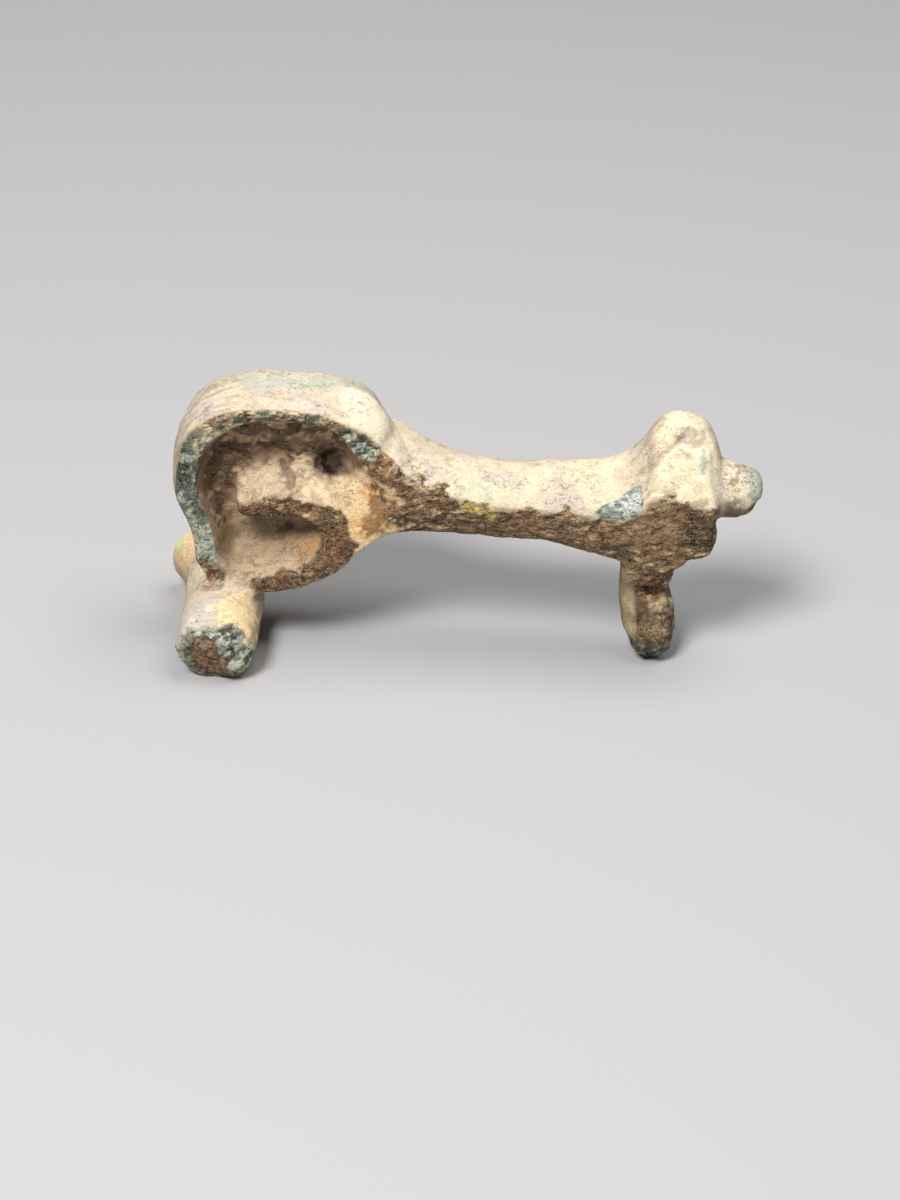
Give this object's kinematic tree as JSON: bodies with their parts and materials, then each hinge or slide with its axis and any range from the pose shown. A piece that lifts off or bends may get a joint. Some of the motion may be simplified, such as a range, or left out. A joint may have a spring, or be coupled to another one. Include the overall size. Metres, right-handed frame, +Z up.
{
  "type": "fibula brooch",
  "caption": "Small ancient bronze bow brooch with a hollow scrolled head, a slender bow, a crested foot and a round crossbar, broken and without its pin.",
  "frame": {"origin": "middle of the underside of the brooch's box, level with the surface that it stands on", "axes": "+X along the bow, from the head to the foot; +Y across the brooch, towards the side with the bent crossbar arm; +Z up"},
  "size_m": [0.0378, 0.0128, 0.0183],
  "materials": {
    "patinated_bronze": "dull earthy patina with green and dark brown crust"
  },
  "bodies": {
    "root": {"brooch_casting": "patinated_bronze"}
  },
  "joints": []
}
